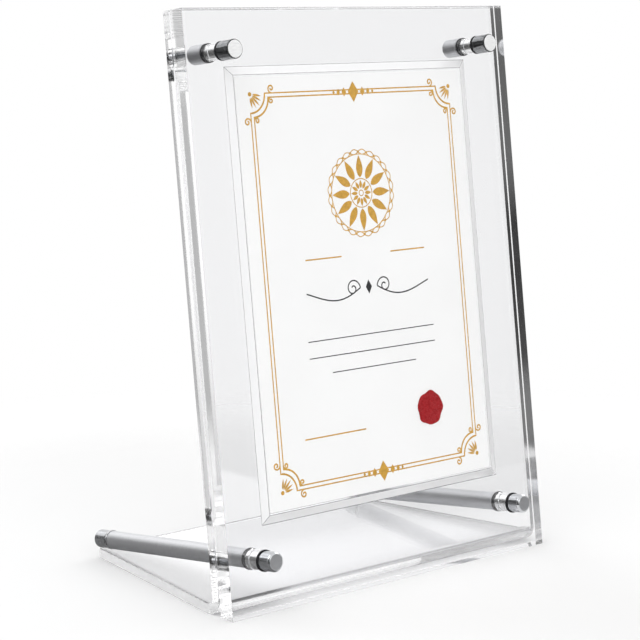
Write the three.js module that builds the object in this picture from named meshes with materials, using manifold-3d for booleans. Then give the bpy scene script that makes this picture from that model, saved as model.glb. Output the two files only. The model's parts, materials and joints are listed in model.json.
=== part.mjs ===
// A clear desktop photo frame. Two acrylic plates hold a print between them, and four round
// posts clamp the plates together. The rear plate is bent at the bottom into a flat foot, and
// the two lower posts run back as legs, to rest on the foot's rear corners.
// Millimetres, +Z up, the front faces -Y. The origin is the middle of the foot's underside.

import * as THREE from 'three';
import { ConvexGeometry } from 'three/addons/geometries/ConvexGeometry.js';
import { mergeVertices } from 'three/addons/utils/BufferGeometryUtils.js';
import Module from 'manifold-3d';

const wasm = await Module();
wasm.setup();

// Plates
const PANEL_WIDTH = 180;
const PANEL_HEIGHT = 245;
const FRONT_PLATE_THICKNESS = 8;
const REAR_PLATE_THICKNESS = 4.5;
const BEND_INSIDE_RADIUS = 2;

// Print, and the bevelled recess that it lies in
const PRINT_WIDTH = 127;
const PRINT_HEIGHT = 178;
const PRINT_THICKNESS = 0.4;
const PRINT_EDGE_CLEARANCE = 0.8;
const RECESS_DEPTH = 2;
const RECESS_BEVEL_WIDTH = 3.5;
const RECESS_TO_TOP_EDGE = 23.5;

// Where the posts stand on the panel, measured to their axes
const POST_TO_SIDE_EDGE = 18;
const TOP_POST_TO_TOP_EDGE = 17.5;
const LOWER_POST_HEIGHT = 21.7;

// Posts
const POST_RADIUS = 4;
const STUD_RADIUS = 2.5;
const STUD_GRIP = 4.5;
const BARREL_LENGTH = 8.5;
const BARREL_CHAMFER = 0.4;
const FRONT_WASHER_THICKNESS = 1;
const REAR_WASHER_THICKNESS = 1.2;

// Caps on the front of the posts
const TOP_CAP_RADIUS = 4;
const TOP_CAP_LENGTH = 7.5;
const TOP_CAP_CHAMFER = 0.3;
const LOWER_CAP_RADIUS = 4.1;
const LOWER_CAP_LENGTH = 6.3;
const LOWER_CAP_CHAMFER = 0.75;
const LOWER_WASHER_RADIUS = 4.5;

// Legs, from the panel's front face to the rear tip
const LEG_REACH = 115.5;
const LEG_END_LENGTH = 7.5;
const LEG_END_CHAMFER = 0.5;
const LEG_RING_THICKNESS = 1.4;
const LEG_RING_PROUD = 0.25;
const SPIGOT_RADIUS = 2;
const SPIGOT_LENGTH = 6;

// Foot. It is full width for a short way behind the bend, then narrows to the legs' tips.
const FOOT_SHOULDER_LENGTH = 2;
const FOOT_PAST_LEG_TIP = 1;
const FOOT_PAST_LEG_AXIS = 1;
const FOOT_CORNER_RADIUS = 1.2;

// Clearances
const SEAT_GAP = 0.3;
const BORE_CLEARANCE = 0.3;
const TOP_HOLE_CLEARANCE = 0.7;
const LOWER_HOLE_CLEARANCE = 1.5;

// Facets of a full circle, and of a corner's arc
const ROUND_SIDES = 32;
const ARC_STEPS = 4;

// Worked-out depths, along the panel's normal from its front face, forwards positive
const FRONT_PLATE_BACK = -FRONT_PLATE_THICKNESS;
const REAR_PLATE_FRONT = FRONT_PLATE_BACK - SEAT_GAP;
const REAR_PLATE_BACK = REAR_PLATE_FRONT - REAR_PLATE_THICKNESS;
const FRONT_WASHER_BACK = SEAT_GAP;
const FRONT_WASHER_FRONT = FRONT_WASHER_BACK + FRONT_WASHER_THICKNESS;
const CAP_BACK = FRONT_WASHER_FRONT + SEAT_GAP;
const REAR_WASHER_FRONT = REAR_PLATE_BACK - SEAT_GAP;
const REAR_WASHER_BACK = REAR_WASHER_FRONT - REAR_WASHER_THICKNESS;
const POST_FRONT = REAR_WASHER_BACK - SEAT_GAP;
const STUD_FRONT = CAP_BACK + STUD_GRIP;
const STUD_BACK = POST_FRONT - STUD_GRIP;
const LEG_END_BACK = -LEG_REACH;
const LEG_END_FRONT = LEG_END_BACK + LEG_END_LENGTH;
const LEG_RING_BACK = LEG_END_FRONT + SEAT_GAP;
const LEG_RING_FRONT = LEG_RING_BACK + LEG_RING_THICKNESS;
const LEG_BACK = LEG_RING_FRONT + SEAT_GAP;
const RECESS_FLOOR = FRONT_PLATE_BACK + RECESS_DEPTH;
const PRINT_FRONT = RECESS_FLOOR - SEAT_GAP;

// Worked-out radii
const STUD_BORE_RADIUS = STUD_RADIUS + BORE_CLEARANCE;
const TOP_HOLE_RADIUS = STUD_RADIUS + TOP_HOLE_CLEARANCE;
const LOWER_HOLE_RADIUS = STUD_RADIUS + LOWER_HOLE_CLEARANCE;
const SPIGOT_BORE_RADIUS = SPIGOT_RADIUS + BORE_CLEARANCE;
const LEG_RING_RADIUS = POST_RADIUS + LEG_RING_PROUD;

// The recess's floor takes the print, and its rim is a bevel wider all round
const RECESS_FLOOR_WIDTH = PRINT_WIDTH + 2 * PRINT_EDGE_CLEARANCE;
const RECESS_FLOOR_HEIGHT = PRINT_HEIGHT + 2 * PRINT_EDGE_CLEARANCE;
const RECESS_RIM_HEIGHT = RECESS_FLOOR_HEIGHT + 2 * RECESS_BEVEL_WIDTH;
const RECESS_CENTRE_HEIGHT = PANEL_HEIGHT - RECESS_TO_TOP_EDGE - RECESS_RIM_HEIGHT / 2;

// Post places across and up the panel
const POST_SIDE = PANEL_WIDTH / 2 - POST_TO_SIDE_EDGE;
const TOP_POST_HEIGHT = PANEL_HEIGHT - TOP_POST_TO_TOP_EDGE;

// The panel leans back until the legs' tips meet the foot. Upright, a tip's lowest point would
// lie this far above the panel's bottom edge and this far behind its face.
const TIP_RISE = LOWER_POST_HEIGHT - POST_RADIUS;
const TIP_REACH = LEG_REACH - LEG_END_CHAMFER;
const TIP_SEAT_HEIGHT = REAR_PLATE_THICKNESS + SEAT_GAP;
const LEAN = Math.acos(TIP_SEAT_HEIGHT / Math.hypot(TIP_RISE, TIP_REACH)) - Math.atan2(TIP_REACH, TIP_RISE);
const LEAN_COS = Math.cos(LEAN);
const LEAN_SIN = Math.sin(LEAN);

// The bend's middle and the foot's places, as distances back from the panel's bottom front edge
const BEND_CENTRE_HEIGHT = REAR_PLATE_THICKNESS + BEND_INSIDE_RADIUS;
const BEND_CENTRE_BACK = (BEND_INSIDE_RADIUS - REAR_PLATE_BACK + BEND_CENTRE_HEIGHT * LEAN_SIN) / LEAN_COS;
const FOOT_TAPER_START = BEND_CENTRE_BACK + FOOT_SHOULDER_LENGTH;
const FOOT_BACK = LOWER_POST_HEIGHT * LEAN_SIN + LEG_REACH * LEAN_COS + FOOT_PAST_LEG_TIP;
const FOOT_BACK_HALF_WIDTH = POST_SIDE + FOOT_PAST_LEG_AXIS;
const FOOT_MIDDLE = (BEND_CENTRE_BACK + FOOT_BACK) / 2;

// Finishes
const clearAcrylic = () => new THREE.MeshStandardMaterial({
  color: 0xeef3f5, roughness: 0.03, metalness: 0, transparent: true, opacity: 0.35,
});
const polishedSteel = () => new THREE.MeshStandardMaterial({ color: 0xc9ccd0, roughness: 0.12, metalness: 1 });
const brushedSteel = () => new THREE.MeshStandardMaterial({ color: 0xa9abaf, roughness: 0.38, metalness: 1 });
const blackRubber = () => new THREE.MeshStandardMaterial({ color: 0x111214, roughness: 0.6, metalness: 0 });
const clearRubber = () => new THREE.MeshStandardMaterial({
  color: 0xf4f6f8, roughness: 0.15, metalness: 0, transparent: true, opacity: 0.5,
});
const printPaper = () => new THREE.MeshStandardMaterial({ color: 0xf7f6f2, roughness: 0.55, metalness: 0 });

// A closed geometry as a solid, and a solid as a geometry
function toSolid(geometry) {
  const bare = geometry.index ? geometry.toNonIndexed() : geometry.clone();
  bare.deleteAttribute('normal');
  bare.deleteAttribute('uv');
  const merged = mergeVertices(bare, 1e-4);
  return new wasm.Manifold(new wasm.Mesh({
    numProp: 3,
    vertProperties: new Float32Array(merged.attributes.position.array),
    triVerts: new Uint32Array(merged.index.array),
  }));
}

function toGeometry(solid) {
  const mesh = solid.getMesh();
  const geometry = new THREE.BufferGeometry();
  geometry.setAttribute('position', new THREE.BufferAttribute(new Float32Array(mesh.vertProperties), 3));
  geometry.setIndex(new THREE.BufferAttribute(new Uint32Array(mesh.triVerts), 1));
  geometry.computeVertexNormals();
  return geometry;
}

// A turned piece. Its profile lists radius and depth, from the rear to the front.
function turned(profile) {
  const points = profile.map(([radius, depth]) => new THREE.Vector2(radius, depth));
  return new THREE.LatheGeometry(points, ROUND_SIDES).rotateX(Math.PI / 2);
}

// A plain ring round a bore, given as a closed profile
function ringGeometry(radius, boreRadius, back, front) {
  return turned([[boreRadius, back], [radius, back], [radius, front], [boreRadius, front], [boreRadius, back]]);
}

// The panel's frame has x across, y up the panel and z forwards, and leans back from the vertical.
const panel = new THREE.Group();
panel.rotation.x = Math.PI / 2 - LEAN;
panel.position.y = -FOOT_MIDDLE;

// The four places where a post passes through the plates
const POST_PLACES = [
  { name: 'top_left', across: -POST_SIDE, up: TOP_POST_HEIGHT, isLeg: false },
  { name: 'top_right', across: POST_SIDE, up: TOP_POST_HEIGHT, isLeg: false },
  { name: 'bottom_left', across: -POST_SIDE, up: LOWER_POST_HEIGHT, isLeg: true },
  { name: 'bottom_right', across: POST_SIDE, up: LOWER_POST_HEIGHT, isLeg: true },
];

// Cut the four post holes through a plate, whose frame is turned about X from the panel's
function drilled(plate, turn) {
  const length = 3 * (FRONT_PLATE_THICKNESS + REAR_PLATE_THICKNESS);
  let solid = plate;
  for (const place of POST_PLACES) {
    const radius = place.isLeg ? LOWER_HOLE_RADIUS : TOP_HOLE_RADIUS;
    const drill = new THREE.CylinderGeometry(radius, radius, length, ROUND_SIDES);
    drill.rotateX(Math.PI / 2).translate(place.across, place.up, 0).rotateX(turn);
    solid = solid.subtract(toSolid(drill));
  }
  return solid;
}

// The recess widens evenly from its floor, and its cutter runs on past the plate's back.
function recessGeometry() {
  const corners = [];
  for (const depths of [0, 2]) {
    const halfWidth = RECESS_FLOOR_WIDTH / 2 + depths * RECESS_BEVEL_WIDTH;
    const halfHeight = RECESS_FLOOR_HEIGHT / 2 + depths * RECESS_BEVEL_WIDTH;
    const depth = RECESS_FLOOR - depths * RECESS_DEPTH;
    corners.push(new THREE.Vector3(-halfWidth, -halfHeight, depth));
    corners.push(new THREE.Vector3(halfWidth, -halfHeight, depth));
    corners.push(new THREE.Vector3(halfWidth, halfHeight, depth));
    corners.push(new THREE.Vector3(-halfWidth, halfHeight, depth));
  }
  return new ConvexGeometry(corners).translate(0, RECESS_CENTRE_HEIGHT, 0);
}

// The front plate stands on the surface, with its bottom cut level.
function frontPlateGeometry() {
  const side = new THREE.Shape();
  side.moveTo(0, 0);
  side.lineTo(FRONT_PLATE_THICKNESS, FRONT_PLATE_THICKNESS * Math.tan(LEAN));
  side.lineTo(FRONT_PLATE_THICKNESS, PANEL_HEIGHT);
  side.lineTo(0, PANEL_HEIGHT);
  side.closePath();
  const slab = new THREE.ExtrudeGeometry(side, { depth: PANEL_WIDTH, bevelEnabled: false });
  slab.rotateY(Math.PI / 2).translate(-PANEL_WIDTH / 2, 0, 0);
  return toGeometry(drilled(toSolid(slab), 0).subtract(toSolid(recessGeometry())));
}

function printGeometry() {
  const sheet = new THREE.BoxGeometry(PRINT_WIDTH, PRINT_HEIGHT, PRINT_THICKNESS);
  return sheet.translate(0, RECESS_CENTRE_HEIGHT, PRINT_FRONT - PRINT_THICKNESS / 2);
}

// The rear plate's upright part, bend and shoulder, drawn from the side as distance back and height
function uprightGeometry() {
  const onPanel = (depth, up) => [up * LEAN_SIN - depth * LEAN_COS, up * LEAN_COS + depth * LEAN_SIN];
  const outsideRadius = BEND_INSIDE_RADIUS + REAR_PLATE_THICKNESS;
  const down = 1.5 * Math.PI;
  const forwards = Math.PI - LEAN;
  const side = new THREE.Shape();
  side.moveTo(...onPanel(REAR_PLATE_BACK, PANEL_HEIGHT));
  side.lineTo(...onPanel(REAR_PLATE_FRONT, PANEL_HEIGHT));
  side.absarc(BEND_CENTRE_BACK, BEND_CENTRE_HEIGHT, outsideRadius, forwards, down, false);
  side.lineTo(FOOT_TAPER_START, 0);
  side.lineTo(FOOT_TAPER_START, REAR_PLATE_THICKNESS);
  side.absarc(BEND_CENTRE_BACK, BEND_CENTRE_HEIGHT, BEND_INSIDE_RADIUS, down, forwards, true);
  side.closePath();
  const options = { depth: PANEL_WIDTH, bevelEnabled: false, curveSegments: ARC_STEPS };
  const across = new THREE.Vector3(1, 0, 0);
  const back = new THREE.Vector3(0, 1, 0);
  const up = new THREE.Vector3(0, 0, 1);
  const fromSide = new THREE.Matrix4().makeBasis(back, up, across);
  return new THREE.ExtrudeGeometry(side, options).applyMatrix4(fromSide).translate(-PANEL_WIDTH / 2, 0, 0);
}

// The foot starts inside the shoulder, narrows to the legs' tips and has rounded rear corners.
function footGeometry() {
  const halfWidth = PANEL_WIDTH / 2;
  const taper = Math.atan2(halfWidth - FOOT_BACK_HALF_WIDTH, FOOT_BACK - FOOT_TAPER_START);
  const cornerTrim = FOOT_CORNER_RADIUS * Math.tan((Math.PI / 2 - taper) / 2);
  const cornerAcross = FOOT_BACK_HALF_WIDTH - cornerTrim;
  const cornerBack = FOOT_BACK - FOOT_CORNER_RADIUS;
  const start = FOOT_TAPER_START - FOOT_SHOULDER_LENGTH / 2;
  const outline = new THREE.Shape();
  outline.moveTo(-halfWidth, start);
  outline.lineTo(halfWidth, start);
  outline.lineTo(halfWidth, FOOT_TAPER_START);
  outline.absarc(cornerAcross, cornerBack, FOOT_CORNER_RADIUS, taper, Math.PI / 2, false);
  outline.absarc(-cornerAcross, cornerBack, FOOT_CORNER_RADIUS, Math.PI / 2, Math.PI - taper, false);
  outline.lineTo(-halfWidth, FOOT_TAPER_START);
  outline.closePath();
  const options = { depth: REAR_PLATE_THICKNESS, bevelEnabled: false, curveSegments: ARC_STEPS };
  return new THREE.ExtrudeGeometry(outline, options);
}

function rearPlateGeometry() {
  const bent = toSolid(uprightGeometry()).add(toSolid(footGeometry()));
  return toGeometry(drilled(bent, Math.PI / 2 - LEAN));
}

function capGeometry(radius, length, chamfer) {
  const front = CAP_BACK + length;
  const boreEnd = STUD_FRONT + BORE_CLEARANCE;
  return turned([
    [0, boreEnd],
    [STUD_BORE_RADIUS, boreEnd],
    [STUD_BORE_RADIUS, CAP_BACK],
    [radius, CAP_BACK],
    [radius, front - chamfer],
    [radius - chamfer, front],
    [0, front],
  ]);
}

function studGeometry() {
  return turned([[0, STUD_BACK], [STUD_RADIUS, STUD_BACK], [STUD_RADIUS, STUD_FRONT], [0, STUD_FRONT]]);
}

// The short sleeve behind the panel on a top post, bored from its front
function barrelGeometry() {
  const back = POST_FRONT - BARREL_LENGTH;
  const boreEnd = STUD_BACK - BORE_CLEARANCE;
  return turned([
    [0, back],
    [POST_RADIUS - BARREL_CHAMFER, back],
    [POST_RADIUS, back + BARREL_CHAMFER],
    [POST_RADIUS, POST_FRONT],
    [STUD_BORE_RADIUS, POST_FRONT],
    [STUD_BORE_RADIUS, boreEnd],
    [0, boreEnd],
  ]);
}

// A leg's rod, bored at the front for the stud and at the rear for the end piece's spigot
function legGeometry() {
  const spigotBoreEnd = LEG_END_FRONT + SPIGOT_LENGTH + BORE_CLEARANCE;
  const studBoreEnd = STUD_BACK - BORE_CLEARANCE;
  return turned([
    [0, spigotBoreEnd],
    [SPIGOT_BORE_RADIUS, spigotBoreEnd],
    [SPIGOT_BORE_RADIUS, LEG_BACK],
    [POST_RADIUS, LEG_BACK],
    [POST_RADIUS, POST_FRONT],
    [STUD_BORE_RADIUS, POST_FRONT],
    [STUD_BORE_RADIUS, studBoreEnd],
    [0, studBoreEnd],
  ]);
}

function legEndGeometry() {
  const spigotFront = LEG_END_FRONT + SPIGOT_LENGTH;
  return turned([
    [0, LEG_END_BACK],
    [POST_RADIUS - LEG_END_CHAMFER, LEG_END_BACK],
    [POST_RADIUS, LEG_END_BACK + LEG_END_CHAMFER],
    [POST_RADIUS, LEG_END_FRONT],
    [SPIGOT_RADIUS, LEG_END_FRONT],
    [SPIGOT_RADIUS, spigotFront],
    [0, spigotFront],
  ]);
}

function namedMesh(name, geometry, material) {
  const mesh = new THREE.Mesh(geometry, material);
  mesh.name = name;
  return mesh;
}

panel.add(namedMesh('front_plate', frontPlateGeometry(), clearAcrylic()));
panel.add(namedMesh('photo_print', printGeometry(), printPaper()));

for (const place of POST_PLACES) {
  const post = new THREE.Group();
  post.position.set(place.across, place.up, 0);
  const capRadius = place.isLeg ? LOWER_CAP_RADIUS : TOP_CAP_RADIUS;
  const capLength = place.isLeg ? LOWER_CAP_LENGTH : TOP_CAP_LENGTH;
  const capChamfer = place.isLeg ? LOWER_CAP_CHAMFER : TOP_CAP_CHAMFER;
  const washerRadius = place.isLeg ? LOWER_WASHER_RADIUS : POST_RADIUS;
  const frontWasher = ringGeometry(washerRadius, STUD_BORE_RADIUS, FRONT_WASHER_BACK, FRONT_WASHER_FRONT);
  const rearWasher = ringGeometry(washerRadius, STUD_BORE_RADIUS, REAR_WASHER_BACK, REAR_WASHER_FRONT);
  post.add(namedMesh(`cap_${place.name}`, capGeometry(capRadius, capLength, capChamfer), polishedSteel()));
  post.add(namedMesh(`front_washer_${place.name}`, frontWasher, blackRubber()));
  post.add(namedMesh(`stud_${place.name}`, studGeometry(), polishedSteel()));
  post.add(namedMesh(`rear_washer_${place.name}`, rearWasher, blackRubber()));
  if (place.isLeg) {
    const legRing = ringGeometry(LEG_RING_RADIUS, SPIGOT_BORE_RADIUS, LEG_RING_BACK, LEG_RING_FRONT);
    post.add(namedMesh(`leg_${place.name}`, legGeometry(), brushedSteel()));
    post.add(namedMesh(`leg_ring_${place.name}`, legRing, clearRubber()));
    post.add(namedMesh(`leg_end_${place.name}`, legEndGeometry(), polishedSteel()));
  } else {
    post.add(namedMesh(`barrel_${place.name}`, barrelGeometry(), brushedSteel()));
  }
  panel.add(post);
}

const rearPlate = namedMesh('rear_plate', rearPlateGeometry(), clearAcrylic());
rearPlate.position.y = -FOOT_MIDDLE;

const frame = new THREE.Group();
frame.add(panel);
frame.add(rearPlate);

export default frame;
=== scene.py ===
"""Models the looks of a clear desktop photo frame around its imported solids."""

import json
import math

import bmesh
import bpy
from mathutils import Matrix, Vector


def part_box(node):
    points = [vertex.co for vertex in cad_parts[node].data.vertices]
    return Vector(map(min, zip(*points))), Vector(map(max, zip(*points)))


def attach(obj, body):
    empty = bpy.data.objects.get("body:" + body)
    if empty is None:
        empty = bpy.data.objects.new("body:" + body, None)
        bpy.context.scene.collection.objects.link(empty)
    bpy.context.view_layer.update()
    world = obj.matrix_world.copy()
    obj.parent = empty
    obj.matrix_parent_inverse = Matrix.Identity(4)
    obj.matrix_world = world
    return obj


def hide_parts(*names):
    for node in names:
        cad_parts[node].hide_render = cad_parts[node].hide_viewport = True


bl_info = {
    "name": "Acrylic photo frame",
    "version": (1, 0, 0),
    "blender": (4, 5, 0),
    "location": "View3D > Sidebar > Photo Frame",
    "description": "Clear desktop photo frame with round steel posts and a printed sheet",
    "category": "Add Mesh",
}

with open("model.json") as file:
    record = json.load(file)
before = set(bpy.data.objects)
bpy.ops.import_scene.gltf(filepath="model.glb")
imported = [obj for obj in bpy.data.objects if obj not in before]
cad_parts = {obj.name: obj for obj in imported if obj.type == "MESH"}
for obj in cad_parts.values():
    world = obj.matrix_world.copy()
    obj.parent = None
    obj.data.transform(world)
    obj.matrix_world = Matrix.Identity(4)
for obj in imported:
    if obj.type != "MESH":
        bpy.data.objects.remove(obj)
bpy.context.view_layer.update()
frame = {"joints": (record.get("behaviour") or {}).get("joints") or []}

# The panel leans back, and its caps turn about its normal
NORMAL = Vector(frame["joints"][0]["axis"])
LEAN = math.atan2(NORMAL.z, -NORMAL.y)
FRONT_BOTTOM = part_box("front_plate")[0].y
PANEL = Matrix.Translation((0, FRONT_BOTTOM, 0)) @ Matrix.Rotation(math.pi / 2 - LEAN, 4, "X")

MM = 0.001
ROUND_SIDES = 64
WELD_DISTANCE = 1e-6
SMOOTH_ANGLE = math.radians(28)
CHAMFER_ANGLE = math.radians(25)

# A face looks along an axis when its normal's share of it is over ALONG, and past it under ASIDE
ALONG = 0.9
ASIDE = 0.3


def length(name, description, millimetres):
    """A length, given in millimetres and kept in metres."""
    return bpy.props.FloatProperty(
        name=name, description=description, default=millimetres * MM, min=0, precision=5,
        subtype="DISTANCE", unit="LENGTH",
    )


def colour(name, description, default):
    """A linear colour."""
    return bpy.props.FloatVectorProperty(
        name=name, description=description, default=default, min=0, max=1,
        size=3, subtype="COLOR",
    )


def angle(name, description, degrees):
    """An angle, given in degrees and kept in radians."""
    return bpy.props.FloatProperty(
        name=name, description=description, default=math.radians(degrees),
        subtype="ANGLE", unit="ROTATION",
    )


class PlateSizes(bpy.types.PropertyGroup):
    """Sizes of the two clear plates"""

    width: length("Width", "Width of both plates", 180)
    height: length("Height", "Height of the panel along its face", 245)
    front: length("Front plate", "Thickness of the front plate", 8)
    rear: length("Rear plate", "Thickness of the bent rear plate", 4.5)
    chamfer: length("Chamfer", "Polished chamfer along every edge", 0.3)
    hole: length("Hole radius", "Radius of the upper posts' holes", 3.2)
    low_hole: length("Lower hole radius", "Radius of the lower posts' holes", 4)
    bend: length("Bend radius", "Inside radius of the bend at the foot", 2)
    shoulder: length("Shoulder", "Full-width length of the foot behind the bend", 2)
    foot_width: length("Foot width", "Width of the foot at its rear edge", 146)
    foot_corner: length("Foot corner", "Radius of the foot's rear corners", 1.2)
    recess_depth: length("Recess depth", "Depth of the recess for the print", 2)
    recess_bevel: length("Recess bevel", "Width of the recess's sloping wall", 3.5)
    recess_top: length("Recess to top", "From the recess's rim to the plate's top edge", 23.5)
    gap: length("Gap", "Clearance between neighbours", 0.3)


class PostSizes(bpy.types.PropertyGroup):
    """Sizes of the posts, caps, studs, washers and legs"""

    side: length("To side", "From a post's axis to the plate's side edge", 18)
    top: length("To top", "From a top post's axis to the plate's top edge", 17.5)
    low: length("Lower height", "Height of a lower post's axis on the panel", 21.7)
    radius: length("Radius", "Radius of the posts, the legs and the upper washers", 4)
    edge: length("Edge", "Small rounding on every metal edge", 0.12)
    stud: length("Stud radius", "Outside radius of the studs' threads", 2.5)
    stud_core: length("Stud core", "Radius at the bottom of the threads", 2.12)
    thread_pitch: length("Thread pitch", "Distance from thread to thread", 0.8)
    bore: length("Bore radius", "Radius of the bore that takes a stud", 2.8)
    grip: length("Grip", "Length of stud inside a cap or post", 4.5)
    front_washer: length("Front washer", "Thickness of the front washers", 1)
    rear_washer: length("Rear washer", "Thickness of the rear washers", 1.2)
    low_washer: length("Lower washer radius", "Radius of the lower posts' washers", 4.5)
    washer_edge: length("Washer edge", "Rounding on the washers' edges", 0.15)
    top_cap: length("Top cap radius", "Radius of the upper caps", 4)
    top_cap_length: length("Top cap length", "Length of the upper caps", 7.5)
    top_cap_bevel: length("Top cap bevel", "Width of the upper caps' bevel", 0.3)
    low_cap: length("Lower cap radius", "Radius of the lower caps", 4.1)
    low_cap_length: length("Lower cap length", "Length of the lower caps", 6.3)
    low_cap_bevel: length("Lower cap bevel", "Width of the lower caps' bevel", 0.75)
    barrel: length("Barrel", "Length of the upper posts behind the panel", 8.5)
    barrel_rim: length("Barrel rim", "Rounding round a barrel's rear end", 0.4)
    reach: length("Leg reach", "From the panel's front face to a leg's tip", 115.5)
    leg_end: length("Leg end", "Length of a leg's end piece", 7.5)
    leg_rim: length("Leg rim", "Rounding round a leg's tip", 0.5)
    ring: length("Leg ring", "Thickness of the clear ring", 1.4)
    ring_proud: length("Ring proud", "How far the clear ring stands out", 0.25)
    ring_edge: length("Ring edge", "Rounding on the clear ring's edges", 0.3)
    spigot: length("Spigot radius", "Radius of the end piece's spigot", 2)
    spigot_length: length("Spigot length", "Length of the end piece's spigot", 6)


class PrintSizes(bpy.types.PropertyGroup):
    """Sizes of the printed sheet and its ornament"""

    width: length("Width", "Width of the sheet", 127)
    height: length("Height", "Height of the sheet", 178)
    thickness: length("Thickness", "Thickness of the sheet", 0.4)
    clearance: length("Clearance", "Between the sheet and the recess's wall", 0.8)
    border_inset: length("Border inset", "From the sheet's edge to the outer border line", 7)
    border_step: length("Border step", "From the outer border line to the inner one", 1.7)
    border_corner: length("Border corner", "Radius of the border's hollow corners", 8)
    border_line: length("Border line", "Width of the border lines", 0.8)
    scroll_line: length("Scroll line", "Width of the corner scrolls' lines", 0.7)
    rule_line: length("Rule line", "Width of the gold rules and the flourish", 0.6)
    fine_line: length("Fine line", "Width of the rosette's lines and the dark rules", 0.42)
    relief: length("Relief", "Height of the ink above the paper", 0.05)
    seal: length("Seal", "Radius of the seal", 7.4)
    seal_relief: length("Seal relief", "Height of the seal above the paper", 0.2)


class Finishes(bpy.types.PropertyGroup):
    """Colours of the pieces"""

    acrylic: colour("Acrylic", "Tint of the clear plates", (0.98, 0.981, 0.986))
    steel: colour("Steel", "Polished steel", (0.62, 0.63, 0.65))
    satin: colour("Satin steel", "Brushed steel of the legs and barrels", (0.76, 0.765, 0.785))
    # The upper caps' fronts are painted lighter than the lower ones, as a highlight
    bright: colour("Bright disc", "Fronts of the upper caps", (0.92, 0.925, 0.93))
    disc: colour("Disc", "Brushed fronts of the lower caps", (0.4, 0.405, 0.42))
    rubber: colour("Rubber", "Black washers", (0.012, 0.012, 0.013))
    paper: colour("Paper", "White paper", (0.93, 0.93, 0.925))
    gold: colour("Gold", "Gold ink", (0.6, 0.335, 0.05))
    ink: colour("Ink", "Dark ink", (0.018, 0.018, 0.02))
    wax: colour("Wax", "Red seal", (0.33, 0.002, 0.006))


class StageSettings(bpy.types.PropertyGroup):
    """Camera and floor"""

    camera_place: bpy.props.FloatVectorProperty(
        name="Camera place", description="Where the camera stands",
        default=(-0.575, -0.6834, 0.2399), size=3, subtype="TRANSLATION", unit="LENGTH",
    )
    heading: angle("Heading", "Turn of the camera from straight ahead towards the right", 40.81)
    pitch: angle("Pitch", "How far the camera looks down", 7.17)
    roll: angle("Roll", "Clockwise turn of the camera", 0.53)
    lens: bpy.props.FloatProperty(
        name="Lens", description="Focal length for a 36 mm sensor, in millimetres",
        default=113.93, min=1,
    )
    shift: bpy.props.FloatProperty(
        name="Shift", description="Vertical lens shift as a share of the picture's width",
        default=-0.078,
    )
    floor: length("Floor", "Half the floor's width", 450)


def sizes(context):
    """The sizes of the plates and of the posts."""
    return context.scene.frame_plates, context.scene.frame_posts


# Depths along the panel's normal from its front face, forwards positive
def plate_depths(plates):
    """Depths of the front plate's back and of the rear plate's front and back."""
    front_back = -plates.front
    rear_front = front_back - plates.gap
    return front_back, rear_front, rear_front - plates.rear


def post_front(plates, posts):
    """Depth of the front end of a post or leg."""
    return plate_depths(plates)[2] - 2 * plates.gap - posts.rear_washer


def cap_back(plates, posts):
    """Depth of a cap's rear face."""
    return 2 * plates.gap + posts.front_washer


def print_face(plates):
    """Depth of the paper's front face."""
    return plate_depths(plates)[0] + plates.recess_depth - plates.gap


def print_middle(plates, sheet):
    """Height of the print's middle up the panel."""
    rim = sheet.height + 2 * sheet.clearance + 2 * plates.recess_bevel
    return plates.height - plates.recess_top - rim / 2


def post_places(plates, posts, *levels):
    """Name and place on the panel of each post at the levels asked for, top or bottom."""
    side = plates.width / 2 - posts.side
    heights = {"top": plates.height - posts.top, "bottom": posts.low}
    return [
        (f"{level}_{hand}", Matrix.Translation((across, heights[level], 0)))
        for level in levels
        for hand, across in (("left", -side), ("right", side))
    ]


# Modelling steps
def object_mode():
    if bpy.context.mode != "OBJECT":
        bpy.ops.object.mode_set(mode="OBJECT")


def none_selected():
    object_mode()
    bpy.ops.object.select_all(action="DESELECT")


def only(piece):
    """Make one piece the active and only selected one."""
    none_selected()
    piece.select_set(True)
    bpy.context.view_layer.objects.active = piece


def named(name):
    """The object that an operator just made, under its own name."""
    piece = bpy.context.active_object
    piece.name = name
    piece.data.name = name
    return piece


def add_block(name, size, middle):
    """A solid block."""
    none_selected()
    bpy.ops.mesh.primitive_cube_add(size=1, location=middle, scale=size)
    return apply_place(named(name))


def add_rod(name, radius, back, front, sides=ROUND_SIDES):
    """A solid rod about the panel's normal, between two depths."""
    none_selected()
    bpy.ops.mesh.primitive_cylinder_add(
        vertices=sides, radius=radius, depth=front - back, location=(0, 0, (front + back) / 2),
    )
    return apply_place(named(name))


def edit(piece, action, kind="FACE"):
    """Enter edit mode with all or nothing selected."""
    only(piece)
    bpy.ops.object.mode_set(mode="EDIT")
    bpy.ops.mesh.select_mode(type=kind)
    bpy.ops.mesh.select_all(action=action)


def pick(piece, kind, wanted):
    """Enter edit mode and select the faces, edges or vertices that pass a test."""
    edit(piece, "DESELECT", kind)
    mesh = bmesh.from_edit_mesh(piece.data)
    mesh.normal_update()
    items = {"FACE": mesh.faces, "EDGE": mesh.edges, "VERT": mesh.verts}[kind]
    for item in items:
        if wanted(item):
            item.select_set(True)
    mesh.select_flush(True)
    bmesh.update_edit_mesh(piece.data)


def move(offset):
    bpy.ops.transform.translate(value=offset)


def extrude(offset):
    bpy.ops.mesh.extrude_region_move(TRANSFORM_OT_translate={"value": offset})


def apply_place(piece, matrix=None):
    """Put a piece in its place and keep that place in its mesh."""
    only(piece)
    if matrix is not None:
        piece.matrix_world = matrix @ piece.matrix_world
    bpy.ops.object.transform_apply(location=True, rotation=True, scale=True)
    return piece


def apply_modifier(piece, kind, **settings):
    only(piece)
    modifier = piece.modifiers.new(kind.title(), kind)
    for name, value in settings.items():
        setattr(modifier, name, value)
    bpy.ops.object.modifier_apply(modifier=modifier.name)


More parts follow.
